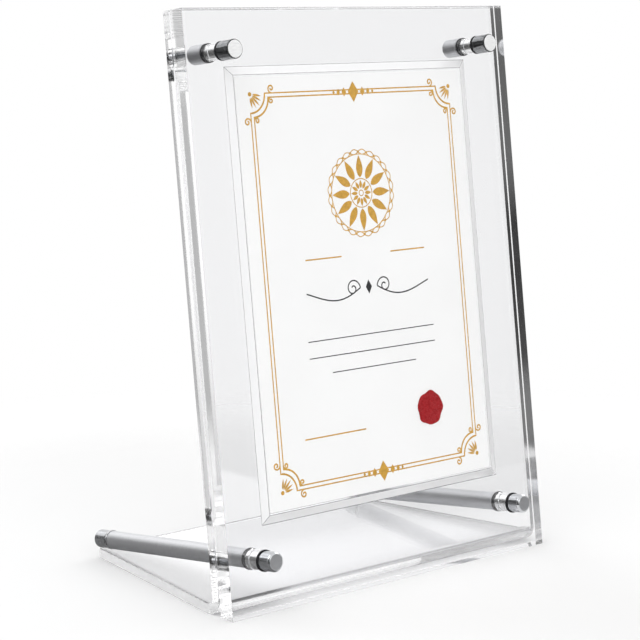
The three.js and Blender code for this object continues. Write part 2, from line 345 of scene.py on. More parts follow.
def cut(piece, cutter):
    """Take a cutter's shape out of a piece."""
    apply_modifier(piece, "BOOLEAN", operation="DIFFERENCE", object=cutter, solver="EXACT")
    bpy.data.objects.remove(cutter)


def chamfer(piece, width, segments=1):
    apply_modifier(
        piece, "BEVEL", width=width, segments=segments, limit_method="ANGLE",
        angle_limit=CHAMFER_ANGLE, use_clamp_overlap=True,
    )


def smooth(piece):
    """Shade smoothly over the bevels and keep the broad faces flat."""
    only(piece)
    bpy.ops.object.shade_smooth_by_angle(angle=SMOOTH_ANGLE)
    apply_modifier(piece, "WEIGHTED_NORMAL", mode="FACE_AREA", weight=100, keep_sharp=True)


def faces_out(piece):
    """Merge doubles, then point every face outwards."""
    edit(piece, "SELECT")
    bpy.ops.mesh.remove_doubles(threshold=WELD_DISTANCE)
    bpy.ops.mesh.normals_make_consistent(inside=False)
    object_mode()


def dressed(piece, width, segments=1):
    """Take the sharpness off a shaped piece's edges and smooth it."""
    chamfer(piece, width, segments)
    faces_out(piece)
    smooth(piece)
    return piece


def copied(piece, name):
    """A copy of a piece with a mesh of its own."""
    twin = piece.copy()
    twin.data = piece.data.copy()
    twin.name = name
    twin.data.name = name
    bpy.context.scene.collection.objects.link(twin)
    return twin


def joined(pieces, name):
    none_selected()
    for piece in pieces:
        piece.select_set(True)
    bpy.context.view_layer.objects.active = pieces[0]
    bpy.ops.object.join()
    return named(name)


def surfaces(piece, *names):
    """Give a piece these materials and no others."""
    piece.data.materials.clear()
    for name in names:
        piece.data.materials.append(material(name))


def paint_faces(piece, slot_index, wanted):
    """Give the faces that pass a test another material slot."""
    for face in piece.data.polygons:
        if wanted(face):
            face.material_index = slot_index


def finished(piece, body, slot, nodes, *names):
    """Give a piece its body, the nodes it stands for and its materials; its record slot is not used."""
    object_mode()
    if names:
        surfaces(piece, *names)
    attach(piece, body)
    if nodes:
        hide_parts(*nodes)
    return piece


def spread(places, *rows):
    """Copy models to the posts' places and finish the copies, then take the models away.

    A row has a model, its node, the last word of its name, its body or None for each post's own
    cap, its record slot and its materials if it has none yet.
    """
    for name, place in places:
        for model, node, last, body, slot, *surface in rows:
            piece = copied(model, f"{node}_{name}_{last}")
            apply_place(piece, PANEL @ place)
            finished(piece, body or f"{name}_cap", slot, [f"{node}_{name}"], *surface)
    for row in rows:
        bpy.data.objects.remove(row[0])


def drill_holes(plate, plates, posts, back, front, turn):
    """Drill the posts' holes through a plate that is turned from the panel's own axes."""
    for level, radius in (("top", plates.hole), ("bottom", plates.low_hole)):
        for name, place in post_places(plates, posts, level):
            drill = add_rod("drill", radius, back, front)
            apply_place(drill, turn @ place)
            cut(plate, drill)


def end_face(piece, depth):
    """Select the flat end of a turned piece at a depth."""
    pick(piece, "FACE", lambda f: (
        abs(f.calc_center_median().z - depth) < WELD_DISTANCE and abs(f.normal.z) > ALONG
    ))


def inset_end(piece, depth, outside, inside):
    """Leave a smaller circle on the flat end of a turned piece, and select it."""
    end_face(piece, depth)
    bpy.ops.mesh.inset(thickness=(outside - inside) * math.cos(math.pi / ROUND_SIDES))


def bore(piece, depth, radius, outside, inwards):
    """Sink a bore into the flat end of a turned piece."""
    inset_end(piece, depth, outside, radius)
    extrude((0, 0, inwards))
    object_mode()


def rim(piece, depth, radius, width, segments=1):
    """Bevel the round edge of a turned piece at a depth and radius."""
    slack = radius * 0.02

    def on_rim(vertex):
        across, up, along = vertex.co
        return abs(along - depth) < WELD_DISTANCE and abs(math.hypot(across, up) - radius) < slack

    pick(piece, "EDGE", lambda e: all(on_rim(v) for v in e.verts))
    bpy.ops.mesh.bevel(offset=width, offset_type="OFFSET", segments=segments, affect="EDGES")
    object_mode()


# Materials
class NodeTree:
    """A node tree under construction."""

    def __init__(self, owner):
        owner.use_nodes = True
        self.tree = owner.node_tree

    def node(self, kind, **settings):
        node = self.tree.nodes.new(kind)
        for name, value in settings.items():
            setattr(node, name, value)
        return node

    def feed(self, value, target):
        """Link a socket to another, or set a plain value on it."""
        if isinstance(value, bpy.types.NodeSocket):
            self.tree.links.new(value, target)
        else:
            target.default_value = value

    def result(self, kind, output, values, **settings):
        """The output of a new node whose inputs, by name or number, get values or links."""
        node = self.node(kind, **settings)
        for name, value in values.items():
            self.feed(value, node.inputs[name])
        return node.outputs[output]

    def math(self, operation, first, second):
        return self.result("ShaderNodeMath", 0, {0: first, 1: second}, operation=operation)

    def ray(self, name):
        """What a ray is, or how often it has been mirrored or let through."""
        return self.node("ShaderNodeLightPath").outputs[name]

    def part(self, vector, axis):
        """One coordinate of a vector."""
        return self.result("ShaderNodeSeparateXYZ", axis, {0: vector})

    def between(self, factor, low, high, start=0.3, end=0.7, smoothly=False):
        """A number that goes from low to high as a factor goes from start to end."""
        ends = {"From Min": start, "From Max": end, "To Min": low, "To Max": high, "Value": factor}
        kind = "SMOOTHSTEP" if smoothly else "LINEAR"
        return self.result("ShaderNodeMapRange", "Result", ends, interpolation_type=kind)

    def rise(self, factor, start, end, low=0.0, high=1.0):
        """A number that goes smoothly from low to high as a factor goes from start to end."""
        return self.between(factor, low, high, start, end, smoothly=True)

    def choose(self, factor, first, second):
        """One of two numbers, or one between them."""
        values = {"Factor": factor, "A": first, "B": second}
        return self.result("ShaderNodeMix", "Result", values, data_type="FLOAT")

    def either(self, factor, first, second):
        """One of two shaders, or a mix of them."""
        return self.result("ShaderNodeMixShader", "Shader", {"Fac": factor, 1: first, 2: second})


class Recipe(NodeTree):
    """A node material under construction."""

    def __init__(self, name):
        self.material = bpy.data.materials.new(name)
        super().__init__(self.material)
        self.shader = self.tree.nodes["Principled BSDF"]
        self.coordinates = self.node("ShaderNodeTexCoord").outputs["Object"]

    def set(self, **values):
        """Set or feed the shader's sockets."""
        for name, value in values.items():
            self.feed(value, self.shader.inputs[name.replace("_", " ")])

    def show(self, shader):
        self.feed(shader, self.tree.nodes["Material Output"].inputs["Surface"])

    def mapped(self, stretch, turned=False):
        """Object coordinates, turned to the panel if asked, then stretched."""
        source = self.coordinates
        if turned:
            lean = {"Vector": source, "Rotation": (LEAN - math.pi / 2, 0, 0)}
            source = self.result("ShaderNodeMapping", "Vector", lean, vector_type="POINT")
        return self.result("ShaderNodeMapping", "Vector", {"Vector": source, "Scale": stretch})

    def noise(self, scale, detail=4, roughness=0.5, stretch=(1, 1, 1), turned=False):
        values = {
            "Scale": scale, "Detail": detail, "Roughness": roughness,
            "Vector": self.mapped(stretch, turned),
        }
        return self.result("ShaderNodeTexNoise", "Fac", values)

    def blend(self, factor, low, high, start=0.35, end=0.65):
        """A colour between two colours."""
        share = self.between(factor, 0, 1, start, end)
        values = {"A": (*low, 1), "B": (*high, 1), "Factor": share}
        return self.result("ShaderNodeMix", "Result", values, data_type="RGBA")

    def bump(self, height, distance, strength):
        values = {"Distance": distance * MM, "Strength": strength, "Height": height}
        self.set(Normal=self.result("ShaderNodeBump", "Normal", values))


def scaled(tint, factor):
    return tuple(min(1.0, part * factor) for part in tint)


def clear(name, tint, film=(1, 1, 1), rough=0.0, ior=1.49, clearness=1.0, grain=None, depth=0.01):
    """Clear glossy plastic that lets the lamps and the room's soft light through as a film."""
    recipe = Recipe(name)
    recipe.set(Base_Color=(*tint, 1), Roughness=rough, IOR=ior, Transmission_Weight=clearness)
    thin = recipe.result("ShaderNodeBsdfTransparent", "BSDF", {"Color": (*film, 1)})
    glass = recipe.shader.outputs["BSDF"]
    for ray in ("Is Diffuse Ray", "Is Shadow Ray"):
        glass = recipe.either(recipe.ray(ray), glass, thin)
    recipe.show(glass)
    if grain:
        recipe.bump(recipe.noise(*grain), depth, 0.3)


def grained(name, tint, tones, gloss, grain, tone_grain=None, gloss_grain=None, relief=None, **values):
    """A surface whose tone, roughness and relief follow one grain, or others where given."""
    recipe = Recipe(name)
    lines = recipe.noise(*grain)
    tone_lines = recipe.noise(*tone_grain) if tone_grain else lines
    gloss_lines = recipe.noise(*gloss_grain) if gloss_grain else lines
    low, high = (scaled(tint, tone) for tone in tones)
    recipe.set(
        Base_Color=recipe.blend(tone_lines, low, high),
        Roughness=recipe.between(gloss_lines, *gloss), **values,
    )
    if relief:
        recipe.bump(lines, *relief)


# Grains: scale, detail, roughness, stretch and whether it is turned to the panel
CAST = (8, 2)
MILLED = (1400, 3, 0.5)
TURNED = (420, 4, 0.65, (1, 1, 22), True)
FINE = (900, 5, 0.6)
FACED = (300, 4, 0.7, (1, 24, 1), True)
INKED = (700, 5, 0.6)
SAWN_FILM = (0.6, 0.6, 0.61)
POLISHED = dict(
    tones=(0.93, 1.04), gloss=(0.03, 0.09), grain=(260, 3, 0.6, (1, 1, 14), True),
    gloss_grain=FINE, relief=(0.01, 0.25), Metallic=1.0,
)
PRINTED = dict(tones=(0.85, 1.15), grain=INKED, Specular_IOR_Level=0.2)

# Each material's maker, its colour and that colour's share, and what else the maker needs
MATERIALS = {
    # The plates' cast faces. The rear plate is greyer, and its tight bend leaves a darker shadow.
    "front_acrylic": (clear, "acrylic", 1, dict(grain=CAST)),
    "rear_acrylic": (clear, "acrylic", 0.93, dict(film=(0.92, 0.92, 0.925), grain=CAST)),
    "bent_acrylic": (clear, "acrylic", 0.93, dict(film=(0.55, 0.55, 0.56), grain=CAST)),
    # Edges that are sawn and then polished, with a faint waviness along them
    "panel_edge": (clear, "acrylic", 1, dict(
        film=SAWN_FILM, rough=0.05, grain=(260, 3, 0.5, (1, 1, 0.12)), depth=0.015)),
    "foot_edge": (clear, "acrylic", 1, dict(
        film=SAWN_FILM, rough=0.2, grain=(500, 3, 0.5, (1, 0.06, 1)), depth=0.06)),
    # The recess's satin wall, which scatters a part of the light, and the dark shade painted as a line
    # along its edges
    "milled_acrylic": (clear, "acrylic", 0.93, dict(rough=0.18, clearness=0.35, grain=MILLED)),
    "mill_line": (clear, "acrylic", 0.12, dict(rough=0.2, grain=MILLED)),
    # The walls of the drilled holes, with rings left by the drill
    "drilled_acrylic": (clear, "acrylic", 0.92, dict(
        rough=0.18, grain=(900, 3, 0.6, (0.2, 0.2, 4), True), depth=0.03)),
    "ring_plastic": (clear, "acrylic", 1, dict(film=(0.97, 0.97, 0.97), rough=0.08, ior=1.45)),
    "mirror_steel": (grained, "steel", 1, POLISHED),
    # A darker copy of mirror steel, painted as the upper caps' dark reflections
    "dark_mirror_steel": (grained, "steel", 0.5, POLISHED),
    "satin_steel": (grained, "satin", 1, dict(
        tones=(0.88, 1.08), gloss=(0.44, 0.56), grain=TURNED, relief=(0.02, 0.35), Metallic=1.0)),
    "fine_satin_steel": (grained, "steel", 1, dict(
        tones=(0.85, 1.05), gloss=(0.2, 0.3), grain=TURNED, relief=(0.02, 0.3), Metallic=1.0)),
    # The brushed fronts of the caps, the upper ones painted lighter as a highlight, and the narrow bevel
    # round the upper ones, painted dark as shade
    "bright_disc": (grained, "bright", 1, dict(
        tones=(0.85, 1.12), gloss=(0.5, 0.6), grain=FACED, relief=(0.02, 0.3), Metallic=1.0)),
    "brushed_disc": (grained, "disc", 1, dict(
        tones=(0.85, 1.12), gloss=(0.28, 0.4), grain=FACED, relief=(0.02, 0.3), Metallic=1.0)),
    "dark_rim": (grained, "steel", 1, dict(
        tones=(0.1, 0.16), gloss=(0.12, 0.2), grain=(900, 4, 0.6), Metallic=1.0)),
    "washer_rubber": (grained, "rubber", 1, dict(
        tones=(1, 2.2), gloss=(0.45, 0.7), grain=(2500, 4, 0.6), relief=(0.03, 0.4),
        Specular_IOR_Level=0.15)),
    "sheet_paper": (grained, "paper", 1, dict(
        tones=(0.975, 1), gloss=(0.5, 0.68), grain=(900, 6, 0.65, (1, 1, 1.6)),
        tone_grain=(24, 3, 0.5), relief=(0.02, 0.25), Specular_IOR_Level=0.3)),
    "gold_ink": (grained, "gold", 1, dict(gloss=(0.35, 0.5), Metallic=0.15, **PRINTED)),
    "dark_ink": (grained, "ink", 1, dict(gloss=(0.4, 0.55), **PRINTED)),
    "red_wax": (grained, "wax", 1, dict(gloss=(0.22, 0.34), **PRINTED)),
}


def material(name):
    """A material by name, made the first time that it is asked for."""
    if name not in bpy.data.materials:
        maker, tint, share, settings = MATERIALS[name]
        maker(name, scaled(getattr(bpy.context.scene.frame_finishes, tint), share), **settings)
    return bpy.data.materials[name]


# Ornament outlines in millimetres, in the print's own plane
def around(centre, radius, turn):
    """The point at a turn in radians on a circle."""
    return centre[0] + radius * math.cos(turn), centre[1] + radius * math.sin(turn)


def arc(centre, radius, start, end, steps=16):
    """Points along an arc, with its angles in degrees."""
    return [
        around(centre, radius, math.radians(start + (end - start) * step / steps))
        for step in range(steps + 1)
    ]


def spiral(centre, outer, inner, start, turns, hand, steps=40):
    """Points along a spiral that winds in from its outer radius."""
    points = []
    for step in range(steps + 1):
        share = step / steps
        turn = math.radians(start) + hand * turns * 2 * math.pi * share
        points.append(around(centre, outer + (inner - outer) * share ** 0.8, turn))
    return points


def leaf(base, size, width, direction, steps=12):
    """A closed leaf from its base, its tip in a direction given in degrees."""
    along = Vector(around((0, 0), 1, math.radians(direction)))
    across = Vector((-along.y, along.x))
    points = []
    for side in (1, -1):
        for step in range(steps):
            share = step / steps if side > 0 else 1 - step / steps
            half = width / 2 * math.sin(math.pi * share ** 0.75)
            points.append(tuple(Vector(base) + along * (size * share) + across * (side * half)))
    return points


def lozenge(centre, half_width, half_height):
    """A closed lozenge, clockwise from its top."""
    x, y = centre
    return [(x, y + half_height), (x + half_width, y), (x, y - half_height), (x - half_width, y)]


def mirrored(lines, across=True, up=False):
    """Lines with their mirror images, left to right or bottom to top."""
    found = list(lines)
    if across:
        found += [[(-x, y) for x, y in line] for line in found]
    if up:
        found += [[(x, -y) for x, y in line] for line in found]
    return found


def turned_about(lines, centre, count):
    """Lines repeated round a centre."""
    middle = Vector(centre)
    found = []
    for number in range(count):
        turn = Matrix.Rotation(2 * math.pi * number / count, 2)
        for line in lines:
            found.append([tuple(middle + turn @ (Vector(point) - middle)) for point in line])
    return found


def add_drawing(name, lines, relief, width=None, closed=False):
    """Lines as flat ribbons of ink, or as filled shapes without a width, in the print's plane."""
    none_selected()
    bpy.ops.curve.primitive_bezier_curve_add()
    drawing = named(name)
    curve = drawing.data
    curve.splines.clear()
    curve.dimensions = "3D" if width else "2D"
    for line in lines:
        spline = curve.splines.new("POLY")
        spline.points.add(len(line) - 1)
        for point, (x, y) in zip(spline.points, line):
            point.co = (x * MM, y * MM, 0, 1)
        spline.use_cyclic_u = closed or not width
    if width:
        curve.bevel_depth = width / 2
        curve.bevel_resolution = 2
        curve.use_fill_caps = True
    else:
        curve.fill_mode = "BOTH"
        curve.extrude = relief
    only(drawing)
    bpy.ops.object.convert(target="MESH")
    drawing = bpy.context.active_object
    if width:
        drawing.scale.z = relief / (width / 2)
    apply_place(drawing)
    faces_out(drawing)
    return drawing


class PhotoFrameStep:
    """What every operator here shares"""

    bl_options = {"REGISTER", "UNDO"}


class PHOTOFRAME_OT_front_plate(PhotoFrameStep, bpy.types.Operator):
    """Model the thick front plate with its holes and its bevelled recess"""

    bl_idname = "photoframe.front_plate"
    bl_label = "Front plate"

    def execute(self, context):
        plates, posts = sizes(context)
        sheet = context.scene.frame_print
        back = plate_depths(plates)[0]
        size = (plates.width, plates.height, plates.front)
        plate = add_block("front_plate_polished", size, (0, plates.height / 2, back / 2))
        pick(plate, "VERT", lambda v: v.co.y < WELD_DISTANCE and v.co.z < back / 2)
        move((0, plates.front * math.tan(LEAN), 0))
        object_mode()
        cut(plate, self.recess_cutter(plates, sheet, back))
        drill_holes(plate, plates, posts, 2 * back, plates.front, Matrix())
        dressed(plate, plates.chamfer)
        self.paint(plate, plates)
        apply_place(plate, PANEL)
        finished(plate, "cover", "clear_acrylic", ["front_plate"])
        return {"FINISHED"}

    def recess_cutter(self, plates, sheet, back):
        """A block with sloping walls, which runs on past the plate's back."""
        width = sheet.width + 2 * sheet.clearance
        height = sheet.height + 2 * sheet.clearance
        deep = 2 * plates.recess_depth
        middle = (0, print_middle(plates, sheet), back + plates.recess_depth - deep / 2)
        block = add_block("recess_cutter", (width, height, deep), middle)
        pick(block, "FACE", lambda f: f.normal.z < -ALONG)
        grow = 4 * plates.recess_bevel
        bpy.ops.transform.resize(value=((width + grow) / width, (height + grow) / height, 1))
        object_mode()
        return block

    def paint(self, plate, plates):
        """Tell the recess's wall and its painted shade lines, the outer edges and the holes from the
        faces.
        """
        wall_slope, line_slope, flat_slope = 0.5, 0.92, 0.99
        outer = plates.width / 2 - plates.gap
        low, high = 2 * plates.gap, plates.height - plates.gap

        def on_outline(face):
            return abs(face.center.x) > outer or not low <= face.center.y <= high

        surfaces(
            plate, "front_acrylic", "milled_acrylic", "mill_line", "panel_edge", "drilled_acrylic",
        )
        paint_faces(plate, 1, lambda f: wall_slope < -f.normal.z < line_slope)
        # The chamfers along the recess's edges get the dark painted shade line
        paint_faces(plate, 2, lambda f: line_slope < -f.normal.z < flat_slope)
        paint_faces(plate, 3, lambda f: abs(f.normal.z) < ASIDE and on_outline(f))
        paint_faces(plate, 4, lambda f: abs(f.normal.z) < ASIDE and not on_outline(f))


class PHOTOFRAME_OT_rear_plate(PhotoFrameStep, bpy.types.Operator):
    """Model the thinner rear plate, bent at the bottom into a tapering foot"""

    bl_idname = "photoframe.rear_plate"
    bl_label = "Rear plate"

    def execute(self, context):
        plates, posts = sizes(context)
        front, back = plate_depths(plates)[1:]
        bend_height = plates.rear + plates.bend
        bend_back = (plates.bend - back + bend_height * math.sin(LEAN)) / math.cos(LEAN)
        foot_back = FRONT_BOTTOM + bend_back
        none_selected()
        bpy.ops.mesh.primitive_plane_add(
            size=1, location=(0, plates.height, (front + back) / 2), rotation=(math.pi / 2, 0, 0),
        )
        plate = named("rear_plate_polished")
        plate.scale = (plates.width, plates.rear, 1)
        apply_place(plate)
        self.bend(plate, plates, bend_back * math.sin(LEAN) + bend_height * math.cos(LEAN), back)
        self.run_out(plate, plates, foot_back)
        drill_holes(plate, plates, posts, 2 * back, -back, PANEL)
        dressed(plate, plates.chamfer)
        self.paint(plate, plates, posts, foot_back, bend_height)
        finished(plate, "stand", "clear_acrylic", ["rear_plate"])
        return {"FINISHED"}

    def bend(self, plate, plates, bend_up, back):
        """Draw the plate down from its top edge and round the bend."""
        pick(plate, "FACE", lambda f: True)
        extrude((0, bend_up - plates.height, 0))
        bpy.ops.mesh.spin(
            steps=14, angle=-math.pi / 2 - LEAN, center=(0, bend_up, back - plates.bend),
            axis=(1, 0, 0),
        )
        object_mode()
        apply_place(plate, PANEL)

    def run_out(self, plate, plates, foot_back):
        """Draw the foot back from the bend, narrow it and round its rear corners."""
        rear_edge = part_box("rear_plate")[1].y
        pick(plate, "FACE", lambda f: (
            f.normal.y > ALONG and abs(f.calc_center_median().y - foot_back) < plates.gap
        ))
        extrude((0, plates.shoulder, 0))
        extrude((0, rear_edge - foot_back - plates.shoulder, 0))
        bpy.ops.transform.resize(value=(plates.foot_width / plates.width, 1, 1))
        object_mode()
        pick(plate, "EDGE", lambda e: (
            all(v.co.y > rear_edge - plates.gap for v in e.verts)
            and abs(e.verts[0].co.x - e.verts[1].co.x) < plates.gap
        ))
        bpy.ops.mesh.bevel(offset=plates.foot_corner, segments=5, affect="EDGES")
        faces_out(plate)

    def paint(self, plate, plates, posts, foot_back, bend_height):
        """Tell the outer edges, the foot's edges, the holes and the bend from the faces."""
        upright, tilted, flat = 0.1, 0.15, 0.99
        outer = plates.width / 2 - plates.gap
        foot_top = plates.rear + plates.gap
        near = plates.low_hole * 2
        surfaces(
            plate, "rear_acrylic", "panel_edge", "foot_edge", "drilled_acrylic", "bent_acrylic",
        )
        for name, place in post_places(plates, posts, "top", "bottom"):
            axis = PANEL @ place.translation

            def in_hole(face):
                away = face.center - axis
                radial = away - NORMAL * away.dot(NORMAL)
                return face.area < near ** 2 and radial.length < near

            paint_faces(plate, 3, lambda f: abs(f.normal.dot(NORMAL)) < ASIDE and in_hole(f))
        paint_faces(plate, 1, lambda f: abs(f.normal.x) > flat and abs(f.center.x) > outer)
        paint_faces(plate, 2, lambda f: (
            f.center.z < foot_top and abs(f.normal.z) < upright and f.center.y > foot_back
        ))
        paint_faces(plate, 4, lambda f: (
            abs(f.normal.x) < upright and f.center.y < foot_back
            and tilted < abs(f.normal.z) < flat and f.center.z < bend_height
        ))


class PHOTOFRAME_OT_print(PhotoFrameStep, bpy.types.Operator):
    """Model the paper sheet behind the front plate"""

    bl_idname = "photoframe.print_sheet"
    bl_label = "Print"

    def execute(self, context):
        plates, sheet = context.scene.frame_plates, context.scene.frame_print
        middle = (0, print_middle(plates, sheet), print_face(plates) - sheet.thickness / 2)
        paper = add_block("print_sheet", (sheet.width, sheet.height, sheet.thickness), middle)
        dressed(paper, sheet.thickness / 8)
        apply_place(paper, PANEL)
        finished(paper, "print", "print_paper", ["photo_print"], "sheet_paper")
        return {"FINISHED"}


class PHOTOFRAME_OT_ornament(PhotoFrameStep, bpy.types.Operator):
    """Print the gold border, rosette and rules, the dark flourish and the plain seal"""

    bl_idname = "photoframe.ornament"
    bl_label = "Printed ornament"

    def execute(self, context):
        plates, sheet = context.scene.frame_plates, context.scene.frame_print
        place = Matrix.Translation((0, print_middle(plates, sheet), print_face(plates)))
        right = (sheet.width / 2 - sheet.border_inset) / MM
        top = (sheet.height / 2 - sheet.border_inset) / MM
        for drawing, tint in (
            (self.border(sheet, right, top), "gold_ink"),
            (self.corners(sheet, right, top), "gold_ink"),
            (self.edge_motifs(sheet, top), "gold_ink"),
            (self.rosette(sheet), "gold_ink"),
            (self.gold_rules(sheet), "gold_ink"),
            (self.dark_rules(sheet), "dark_ink"),
            (self.flourish(sheet), "dark_ink"),
            (self.seal(sheet), "red_wax"),
        ):
            apply_place(drawing, PANEL @ place)
            smooth(drawing)
            finished(drawing, "print", "print_paper", [], tint)
        return {"FINISHED"}

    def border(self, sheet, right, top):
        """Two closed lines with hollow corners, clockwise from the top right."""
        corners = ((1, 1, 180), (1, -1, 90), (-1, -1, 0), (-1, 1, -90))
        lines = []
        for step in (0, sheet.border_step / MM):
            line = []
            for x, y, start in corners:
                centre = (x * (right - step), y * (top - step))
                line += arc(centre, sheet.border_corner / MM, start, start + 90)
            lines.append(line)
        return add_drawing("gold_border", lines, sheet.relief, sheet.border_line, closed=True)

    def corners(self, sheet, x, y):
        """A small fan of leaves in each corner, and scrolls where the border turns."""
        fan = [arc((x - 0.2, y - 0.2), 0.9, 0, 340, 17)]
        for step in range(5):
            direction = 190 + 17.5 * step
            base = around((x, y), 1.7, math.radians(direction))
            fan.append(leaf(base, 5.4 - 0.5 * abs(step - 2), 0.9, direction))
        curls = [
            spiral((x - 11.6, y + 1.9), 1.9, 0.3, -90, 1.3, 1),
            spiral((x + 1.9, y - 11.6), 1.9, 0.3, 180, 1.3, -1),
            spiral((x - 11.2, y - 3.1), 1.4, 0.3, 90, 1.2, -1),
            spiral((x - 3.1, y - 11.2), 1.4, 0.3, 0, 1.2, 1),
        ]
        fans = add_drawing("fans", mirrored(fan, up=True), sheet.relief)
        scrolls = add_drawing("scrolls", mirrored(curls, up=True), sheet.relief, sheet.scroll_line)
        return joined([fans, scrolls], "gold_corners")

    def edge_motifs(self, sheet, top):
        """A row of lozenges at the middle of the top and bottom edges."""
        y = top - sheet.border_step / 2 / MM
        shapes = [lozenge((0, y), 3, 4.4)]
        for step, size in ((5.2, 2.6), (8.4, 1.9), (11, 1.3)):
            for side in (-1, 1):
                shapes.append(lozenge((side * step, y), size / 2, size * 0.75))
        return add_drawing("gold_lozenges", mirrored(shapes, across=False, up=True), sheet.relief)

    def rosette(self, sheet):
        """Two rings of petals and a ring of dots, with plain and waving circles between them."""
        middle = 38
        centre = (0, middle)
        petals = turned_about([leaf((0, middle + 6.6), 9.6, 3.6, 90)], centre, 12)
        petals += turned_about([leaf((0, middle + 2.1), 3.6, 1.5, 90)], centre, 12)
        dots = turned_about([arc((0, middle + 17.6), 0.6, 0, 330, 11)], centre, 24)
        filled = add_drawing("rosette_fill", petals + dots, sheet.relief)
        circles = [arc(centre, radius, 0, 354, 59) for radius in (1.2, 6.1, 16.6)]
        turns = [2 * math.pi * step / 120 for step in range(120)]
        for start in (0, math.pi):
            circles.append([
                around(centre, 17.6 + 1.1 * math.sin(12 * turn + start), turn) for turn in turns
            ])
        lines = add_drawing("rosette_lines", circles, sheet.relief, sheet.fine_line, closed=True)
        return joined([filled, lines], "gold_rosette")

    def gold_rules(self, sheet):
        rules = [[(-34, 12), (-14, 12)], [(14, 12), (34, 12)], [(-42, -62), (-8, -62)]]
        return add_drawing("gold_rules", rules, sheet.relief, sheet.rule_line)

    def dark_rules(self, sheet):
        rules = [[(-half, y), (half, y)] for half, y in ((36, -22), (36, -29), (24, -36))]
        return add_drawing("ink_rules", rules, sheet.relief, sheet.fine_line)

    def flourish(self, sheet):
        """A mirrored pair of curls under the rosette, with a lozenge between them."""
        y = -2
        curl = spiral((9, y), 4.2, 0.7, 180, 1.4, -1)
        tail = []
        for step in range(25):
            share = step / 24
            drop = 5.2 * math.sin(math.pi * share) * (1 - 0.4 * share)
            tail.append((4.8 + 30 * share, y - drop))
        lines = add_drawing("flourish", mirrored([curl, tail]), sheet.relief, sheet.rule_line)
        diamond = add_drawing("diamond", [lozenge((0, y), 1.7, 3)], sheet.relief)
        return joined([lines, diamond], "ink_flourish")

    def seal(self, sheet):
        """A plain pressed seal with an uneven rim."""
        seal = add_rod("red_seal", sheet.seal, 0, sheet.seal_relief, 72)
        end_face(seal, sheet.seal_relief)
        for width, rise in ((1.9, -0.09), (1.3, 0.05)):
            bpy.ops.mesh.inset(thickness=width * MM)
            bpy.ops.mesh.inset(thickness=0.25 * MM)
            move((0, 0, rise * MM))
        object_mode()
        for vertex in seal.data.vertices:
            turn = math.atan2(vertex.co.y, vertex.co.x)
            reach = math.hypot(vertex.co.x, vertex.co.y) / sheet.seal
            wave = 0.035 * math.sin(5 * turn + 1) + 0.025 * math.sin(8 * turn + 2.3)
            vertex.co.xy *= 1 + reach ** 4 * wave
        chamfer(seal, 0.07 * MM, 3)
        return apply_place(seal, Matrix.Translation((30 * MM, -58 * MM, 0)))


class PHOTOFRAME_OT_caps(PhotoFrameStep, bpy.types.Operator):
    """Turn the four caps on the front of the posts"""

    bl_idname = "photoframe.caps"
    bl_label = "Caps"

    def cap(self, plates, posts, radius, size, bevel, side, disc):
        """A cap with a bore behind and a bevelled front."""
        back = cap_back(plates, posts)
        front = back + size
        cap = add_rod("cap", radius, back, front)
        bore(cap, back, posts.bore, radius, posts.grip + plates.gap)
        rim(cap, front, radius, bevel)
        dressed(cap, posts.edge, 2)
        surfaces(cap, side, disc, "dark_rim")
        paint_faces(cap, 1, lambda f: f.center.z > front - WELD_DISTANCE and f.normal.z > ALONG)
        return cap

    def execute(self, context):
        plates, posts = sizes(context)
        # The upper caps' sides take the darker painted reflection steel
        top = self.cap(
            plates, posts, posts.top_cap, posts.top_cap_length, posts.top_cap_bevel,
            "dark_mirror_steel", "bright_disc",
        )
        tilted, flat = 0.15, 0.99
        # The narrow bevel round the upper caps' fronts is painted dark, as a shade line
        rim_back = cap_back(plates, posts) + posts.top_cap_length - 0.5 * MM
        paint_faces(top, 2, lambda f: tilted < f.normal.z < flat and f.center.z > rim_back)
        low = self.cap(
            plates, posts, posts.low_cap, posts.low_cap_length, posts.low_cap_bevel,
            "mirror_steel", "brushed_disc",
        )
        for level, cap in (("top", top), ("bottom", low)):
            row = (cap, "cap", "turned", None, "polished_steel")
            spread(post_places(plates, posts, level), row)
        return {"FINISHED"}


class PHOTOFRAME_OT_washers(PhotoFrameStep, bpy.types.Operator):
    """Make the black washers in front of and behind the plates"""

    bl_idname = "photoframe.washers"
    bl_label = "Washers"

    def washer(self, posts, radius, back, front):
        washer = add_rod("washer", radius, back, front)
        cut(washer, add_rod("hole", posts.bore, back - posts.radius, front + posts.radius))
        return dressed(washer, posts.washer_edge, 3)

    def execute(self, context):
        plates, posts = sizes(context)
        rear = plate_depths(plates)[2] - plates.gap
        for level, radius in (("top", posts.radius), ("bottom", posts.low_washer)):
            ahead = self.washer(posts, radius, plates.gap, plates.gap + posts.front_washer)
            behind = self.washer(posts, radius, rear - posts.rear_washer, rear)
            look = ("black_rubber", "washer_rubber")
            spread(
                post_places(plates, posts, level),
                (ahead, "front_washer", "moulded", "cover", *look),
                (behind, "rear_washer", "moulded", "stand", *look),
            )
        return {"FINISHED"}


